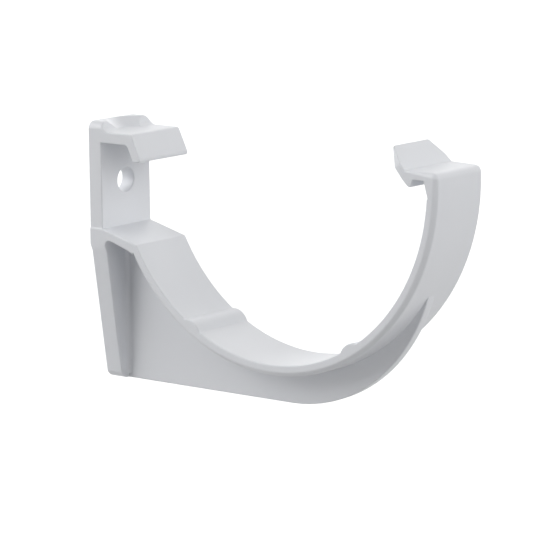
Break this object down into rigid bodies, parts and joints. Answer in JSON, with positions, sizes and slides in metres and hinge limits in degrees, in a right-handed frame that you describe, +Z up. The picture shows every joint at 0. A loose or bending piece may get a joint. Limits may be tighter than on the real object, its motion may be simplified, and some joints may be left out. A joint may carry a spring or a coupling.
{
  "type": "gutter fascia bracket",
  "caption": "White moulded plastic bracket with a half-round cradle, rear hook and front snap clip that holds a gutter to a fascia board.",
  "frame": {"origin": "on the axis of the screw hole, in the flat back that lies on the fascia board", "axes": "+X away from the board, +Y along the gutter, +Z up"},
  "size_m": [0.1289, 0.0222, 0.0795],
  "materials": {
    "white_plastic": "smooth gloss, as moulded"
  },
  "bodies": {
    "root": {"bracket": "white_plastic"}
  },
  "joints": []
}
